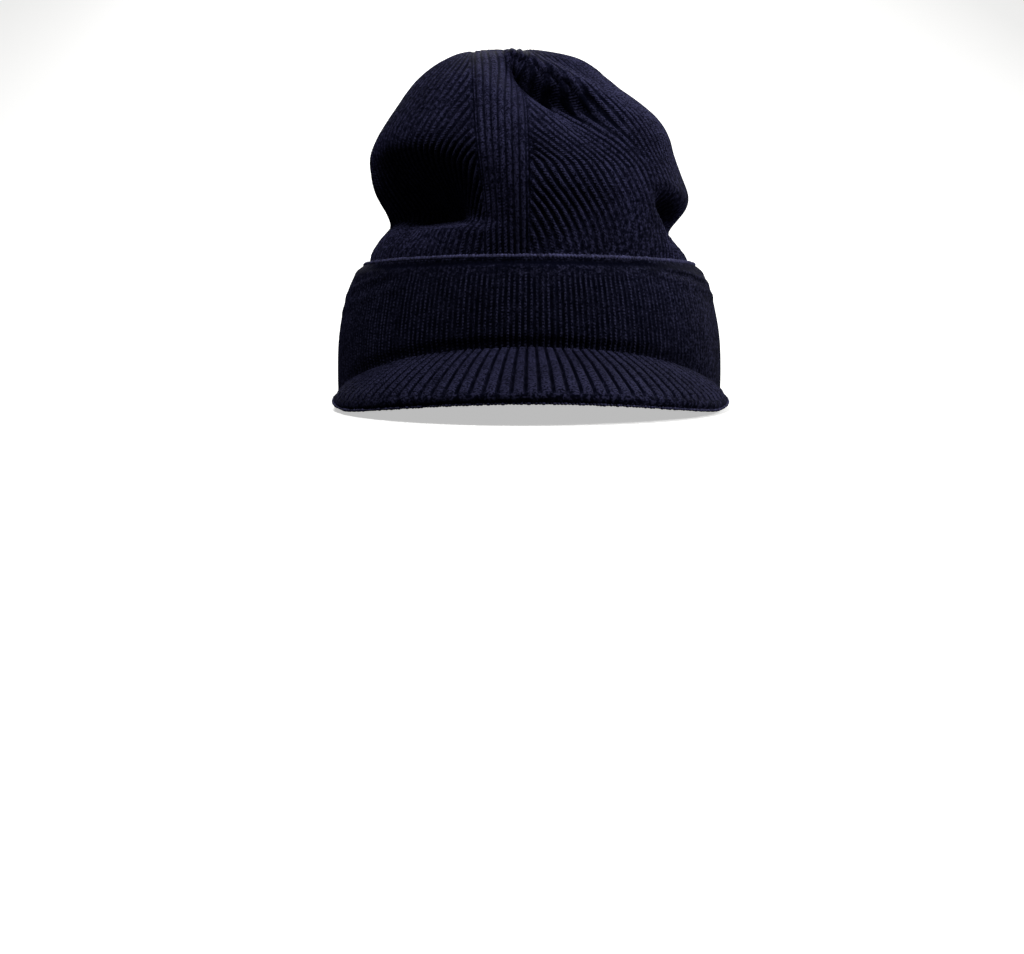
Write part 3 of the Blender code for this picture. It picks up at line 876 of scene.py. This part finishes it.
def crown_columns(position):
    """All columns round the crown at one row: angle, wale, rib share, painted seam shade, flatness."""
    height = smooth_row(CROWN_SECTIONS, position)[0]
    narrowed = min(1.0, max(0.0, height / BAND_FADE))
    sides = []
    for ends, wales in zip(sector_ends(position), sector_wales):
        side = []
        for angle, wale, margin in sector_columns(position, *ends, wales):
            fade = min(1.0, margin / EDGE_FADE)
            relief = rib_share(angle, height) * (1.0 - narrowed * (1.0 - fade))
            # Where a side meets a band, the seam is sunk and painted in shade
            groove_and_painted_shade = narrowed if margin < SAME_POINT else 0.0
            side.append((angle, wale, relief, groove_and_painted_shade, SIDE_FLAT))
        sides.append(side)
    left, right = band_angles(position)
    bands = []
    for start, end in ((left, right), (pi - right, pi - left)):
        band = []
        for column in range(BAND_WALES * COLUMNS_PER_WALE + 1):
            share = column / (BAND_WALES * COLUMNS_PER_WALE)
            edge = share in (0.0, 1.0)
            relief = 1.0 - narrowed if edge else 1.0 - (1.0 - BAND_RELIEF) * narrowed
            # The band's edges are the same sunk seam, painted in shade
            groove_and_painted_shade = narrowed if edge else 0.0
            flat = SIDE_FLAT + (BAND_FLAT - SIDE_FLAT) * narrowed
            band.append((start + (end - start) * share, share * BAND_WALES, relief, groove_and_painted_shade, flat))
        bands.append(band)
    columns = []
    wale = 0.0
    for part, backwards, wales in (
        (sides[0], False, sector_wales[0]),
        (bands[0], False, BAND_WALES),
        (sides[1], True, sector_wales[1]),
        (sides[2], False, sector_wales[2]),
        (bands[1], False, BAND_WALES),
        (sides[3], True, sector_wales[3]),
    ):
        for angle, place, relief, groove_and_painted_shade, flat in (reversed(part) if backwards else part):
            columns.append((angle, wale + (wales - place if backwards else place), relief, groove_and_painted_shade, flat))
        wale += wales
    return columns


def row_positions():
    """Positions of the crown's rows, at most a step apart up its back and in its folds."""
    fine = [index / ROW_SAMPLES for index in range(ROW_SAMPLES * (len(CROWN_SECTIONS) - 1) + 1)]
    lines = [[crown_point(radians(angle), position, 0.0) for angle in ROW_GUIDES] for position in fine]
    lengths = [0.0]
    for line, next_line in zip(lines, lines[1:]):
        lengths.append(lengths[-1] + max((b - a).length for a, b in zip(line, next_line)))
    count = round(lengths[-1] / ROW_STEP)
    reaches = [lengths[-1] * row / count for row in range(count + 1)]
    return [float(position) for position in np.interp(reaches, lengths, fine)]


def crown_shell(positions, inset):
    """Rows of the crown from its foot to its gathered top, set in by a wall."""
    lines = []
    foot_columns = crown_columns(0.0)
    for share in SEATED_SHARES:
        lines.append([
            (seated_point(angle, share, inset), wale, relief, groove_and_painted_shade, flat)
            for angle, wale, relief, groove_and_painted_shade, flat in foot_columns
        ])
    for position in positions:
        lines.append([
            (crown_point(angle, position, inset), wale, relief, groove_and_painted_shade, flat)
            for angle, wale, relief, groove_and_painted_shade, flat in crown_columns(position)
        ])
    last = lines[-1]
    middle = sum((knot[0] for knot in last), Vector()) / len(last)
    middle.z = CROWN_HEIGHT - inset
    for share in GATHER_SHARES:
        dip = Vector((0.0, 0.0, GATHER_DIP * (1.0 - share) ** 2))
        left = min(1.0, GATHER_FADE_RATE * share)
        lines.append([
            (middle.lerp(point, share) - dip, wale, relief * left, groove_and_painted_shade * share, flat)
            for point, wale, relief, groove_and_painted_shade, flat in last
        ])
    return lines


positions = row_positions()
outer = crown_shell(positions, 0.0)
inner = crown_shell(positions[:-1:INNER_ROWS_APART] + positions[-1:], CROWN_WALL)
crown_rows = []
courses = [0.0] * len(outer[0])
for line in inner[::-1] + outer:
    if crown_rows:
        steps = [(knot[0] - below[0]).length for knot, below in zip(line, crown_rows[-1])]
        courses = [course + step / COURSE_HEIGHT for course, step in zip(courses, steps)]
    crown_rows.append([
        (point, wale, course, relief, groove_and_painted_shade, flat)
        for course, (point, wale, relief, groove_and_painted_shade, flat) in zip(courses, line)
    ])
crown = knit_mesh("crown_knit", crown_rows, rows_meet=False, columns_meet=True)
# Its valley colour is painted shade in the rib valleys
crown_yarn = yarn(
    "navy_wool_rib_crown", crest="32324d", valley="030410", legs=1, beads=0.20, uneven=0.3, plain=0.34,
)
run_tree(crown, ribs, {
    "Rib Depth": CROWN_RIB_DEPTH,
    "Valley Power": 1.2,
    "Alternate": 0.0,
    "Groove Depth": BAND_GROOVE,
    "Swell Height": 0.0018,
    "Swell Size": 0.028,
    "Seed": 2.0,
    "Yarn": crown_yarn,
})
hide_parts("crown")
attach(crown, "root")


# The visor
# A short peak of the same yarn, knitted as a sleeve in wide flat ribs and pulled over a stiff core, then
# sewn to the front of the fold. The ribs fan out from the root, and their ends roll over the edge.

VISOR_LENGTH = 0.045
VISOR_TAPER = 1.02
VISOR_THICKNESS = 0.0060
VISOR_END_THIN = 0.45
VISOR_THIN_POWER = 6
VISOR_END_REACH = 0.0044
VISOR_TIP_SHARE = 0.90
VISOR_TIP_POWER = 26
VISOR_EDGE_HEIGHT = 0.0008
VISOR_EDGE_ARCH = 0.0079
VISOR_ARCH_SHARE = 0.64
VISOR_CAMBER = 0.0015
VISOR_RIB_PITCH = 0.00435
VISOR_RIB_DEPTH = 0.0013
VISOR_COURSE_HEIGHT = 0.0017
VISOR_FLAT = 0.85
VISOR_END_FADE = 0.60
VISOR_EDGE_RELIEF = 0.12
VISOR_FADE_POWER = 3
# Painted shade on the visor's nose, strongest at the middle of its turn
NOSE_PAINTED_SHADE = 0.05
VISOR_COLUMNS_PER_RIB = 8
VISOR_UNDER_STEPS = 14
VISOR_NOSE_STEPS = 8
VISOR_TOP_STEPS = 26

# The seam runs round the visor's nose, so many of its steps above the lower face: low, but rising at the ends
SEAM_LOW = 1.7
SEAM_HIGH = 6.0
SEAM_RISE_POWER = 4
SEAM_SHARE = 0.94
SEAM_STEPS = 160
SEAM_STITCH_PITCH = 0.0015
SEAM_STITCH_LENGTH = 0.0019
SEAM_STITCH_WIDTH = 0.0013


def visor_point(angle, root, out, height):
    """Point of the visor, out from the cuff's face as that face is at the root's height."""
    point = cuff_point(angle, root, -SEAT_GAP - out)
    point.z = height
    return point


def visor_outline(share):
    """Closed visor outline at a share of its half angle: point, rib share and painted shade share."""
    angle = share * VISOR_HALF_ANGLE
    taper = 1.0 - share * share
    end = VISOR_END_REACH * (1.0 - VISOR_TIP_SHARE * abs(share) ** VISOR_TIP_POWER)
    reach = max(VISOR_LENGTH * taper ** VISOR_TAPER, end)
    thickness = VISOR_THICKNESS * (1.0 - VISOR_END_THIN * abs(share) ** VISOR_THIN_POWER)
    nose = min(thickness, reach) / 2
    flat = reach - nose
    root = visor_root(angle)
    ribbed = 1.0 - VISOR_END_FADE * abs(share) ** VISOR_FADE_POWER
    arch = front_wave(angle, VISOR_HALF_ANGLE * VISOR_ARCH_SHARE) ** ARCH_POWER
    edge = VISOR_EDGE_HEIGHT + VISOR_EDGE_ARCH * arch + VISOR_THICKNESS
    tuck = TUCK_DEPTH * front_wave(angle, VISOR_HALF_ANGLE) ** TUCK_POWER

    def layer(along, lower):
        camber = VISOR_CAMBER * taper * sin(pi * along)
        height = root + (edge - root) * flat * along / reach + camber - lower
        return visor_point(angle, root - lower, flat * along - tuck * (1.0 - along), height), ribbed, 0.0

    outline = [layer(step / VISOR_UNDER_STEPS, thickness) for step in range(VISOR_UNDER_STEPS + 1)]
    for step in range(1, VISOR_NOSE_STEPS):
        turn = pi * step / VISOR_NOSE_STEPS - pi / 2
        height = edge - thickness / 2 + thickness / 2 * sin(turn)
        point = visor_point(angle, root - thickness / 2, flat + nose * cos(turn), height)
        relief = ribbed * max(VISOR_EDGE_RELIEF, sin(turn) ** VISOR_FADE_POWER)
        # A little painted shade on the nose
        outline.append((point, relief, NOSE_PAINTED_SHADE * cos(turn)))
    outline += [layer(1.0 - step / VISOR_TOP_STEPS, 0.0) for step in range(VISOR_TOP_STEPS + 1)]
    outline.append(outline[0])
    return outline


visor_ribs = round(VISOR_HALF_ANGLE * (CUFF_HALF_WIDTH + CUFF_HALF_DEPTH) / VISOR_RIB_PITCH)
visor_lines = []
for column in range(visor_ribs * VISOR_COLUMNS_PER_RIB + 1):
    outline = visor_outline(2 * column / (visor_ribs * VISOR_COLUMNS_PER_RIB) - 1)
    line = [point for point, relief, groove_and_painted_shade in outline]
    shares = [(relief, groove_and_painted_shade) for point, relief, groove_and_painted_shade in outline]
    visor_lines.append((line, courses_along(line, VISOR_COURSE_HEIGHT), shares))
visor_rows = rows_across(visor_lines, VISOR_COLUMNS_PER_RIB, VISOR_FLAT)
visor = knit_mesh("visor_knit", visor_rows, rows_meet=True, columns_meet=False)
shape = bmesh.new()
shape.from_mesh(visor.data)
bmesh.ops.holes_fill(shape, edges=shape.edges)
shape.to_mesh(visor.data)
shape.free()
# Its valley colour is painted shade in the rib valleys
visor_yarn = yarn(
    "navy_wool_rib_visor", crest="292940", valley="01020a", legs=2, beads=0.35, uneven=0.15, plain=0.45,
)
run_tree(visor, ribs, {
    "Rib Depth": VISOR_RIB_DEPTH,
    "Valley Power": 6.0,
    "Alternate": 0.0,
    "Groove Depth": 0.0,
    "Swell Height": 0.0008,
    "Swell Size": 0.020,
    "Seed": 3.0,
    "Yarn": visor_yarn,
})
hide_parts("visor")
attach(visor, "root")

seam_line = []
for step in range(SEAM_STEPS + 1):
    share = SEAM_SHARE * (2 * step / SEAM_STEPS - 1)
    outline = visor_outline(share)
    place = VISOR_UNDER_STEPS + SEAM_LOW + (SEAM_HIGH - SEAM_LOW) * share ** SEAM_RISE_POWER
    below, above = outline[int(place)][0], outline[int(place) + 1][0]
    seam_line.append(below.lerp(above, place % 1))
seam_chain = run_tree(stitch_line("visor_edge_chain", seam_line, closed=False), chains, {
    "Pitch": SEAM_STITCH_PITCH,
    "Length": SEAM_STITCH_LENGTH,
    "Width": SEAM_STITCH_WIDTH,
    "Unevenness": 0.25,
    "Seed": 3,
    "Thread": navy_thread,
})
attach(seam_chain, "root")


# The studio
# A plain white sweep of paper under and behind the hat, with soft lights at the upper right, in front and
# behind. The camera's eye is level with the cuff, and it is tipped down, which sets the hat high in view.

SWEEP_FRONT = -12.0
SWEEP_BACK = 1.5
SWEEP_RADIUS = 0.6
SWEEP_HEIGHT = 2.2
SWEEP_HALF_WIDTH = 12.0
SWEEP_STEPS = 16
PAPER_GLOW = 0.5
LIGHT_AIM = Vector((0.0, 0.0, 0.09))
WORLD_LIGHT = 0.03
CAMERA_BACK = 0.90
CAMERA_SIDE = -0.00829
CAMERA_HEIGHT = 0.070

# The lens and the row that the camera's eye is level with, in pixels of the frame
LENS_PIXELS = 1845.0
FRAME_WIDTH = 1024
FRAME_HEIGHT = 954
HORIZON_ROW = 252.5
SENSOR_WIDTH = 36.0

profile = [(SWEEP_FRONT, 0.0), (SWEEP_BACK - SWEEP_RADIUS, 0.0)]
for step in range(1, SWEEP_STEPS + 1):
    turn = pi / 2 * step / SWEEP_STEPS
    profile.append((SWEEP_BACK - SWEEP_RADIUS * (1 - sin(turn)), SWEEP_RADIUS * (1 - cos(turn))))
profile.append((SWEEP_BACK, SWEEP_HEIGHT))
paper = bmesh.new()
edges = [[paper.verts.new((side * SWEEP_HALF_WIDTH, y, z)) for y, z in profile] for side in (-1, 1)]
for step in range(len(profile) - 1):
    paper.faces.new((edges[0][step], edges[1][step], edges[1][step + 1], edges[0][step + 1]))
sweep_mesh = bpy.data.meshes.new("paper_sweep")
paper.to_mesh(sweep_mesh)
paper.free()
sweep_mesh.shade_smooth()
sweep = put("paper_sweep", sweep_mesh)

# Matt white paper, lit as well from behind, so that it stays plain white round the dark hat
white_paper = start_material("matt_white_paper", {
    "Base Color": linear("f4f4f2"),
    "Roughness": 0.9,
    "Emission Color": linear("ffffff"),
    "Emission Strength": PAPER_GLOW,
})[0]
sweep_mesh.materials.append(white_paper)
sweep.visible_diffuse = False
sweep.visible_glossy = False

LIGHTS = (
    # name, place, size, watts
    ("key_light", (1.06, -0.38, 0.68), 0.35, 9.6),
    ("top_light", (-0.22, -0.44, 1.24), 0.45, 11.0),
    ("side_light", (0.80, 0.90, 0.80), 0.60, 4.0),
    ("back_light", (-0.10, 1.35, 0.75), 0.60, 9.0),
)
for name, place, size, watts in LIGHTS:
    lamp = bpy.data.lights.new(name, "AREA")
    lamp.size = size
    lamp.energy = watts
    light = put(name, lamp)
    light.location = Vector(place) + HAT_MIDDLE
    light.rotation_euler = (LIGHT_AIM - Vector(place)).to_track_quat("-Z", "Y").to_euler()
world = bpy.data.worlds.new("studio")
world.use_nodes = True
world.node_tree.nodes["Background"].inputs["Color"].default_value = linear("ffffff")
world.node_tree.nodes["Background"].inputs["Strength"].default_value = WORLD_LIGHT
bpy.context.scene.world = world

lens = bpy.data.cameras.new("camera")
lens.sensor_width = SENSOR_WIDTH
lens.lens = LENS_PIXELS * SENSOR_WIDTH / FRAME_WIDTH
camera = put("camera", lens)
camera.location = HAT_MIDDLE + Vector((CAMERA_SIDE, -CAMERA_BACK, CAMERA_HEIGHT))
camera.rotation_euler = (pi / 2 - atan((FRAME_HEIGHT / 2 - HORIZON_ROW) / LENS_PIXELS), 0.0, 0.0)
bpy.context.scene.camera = camera
bpy.context.scene.view_settings.view_transform = "Standard"
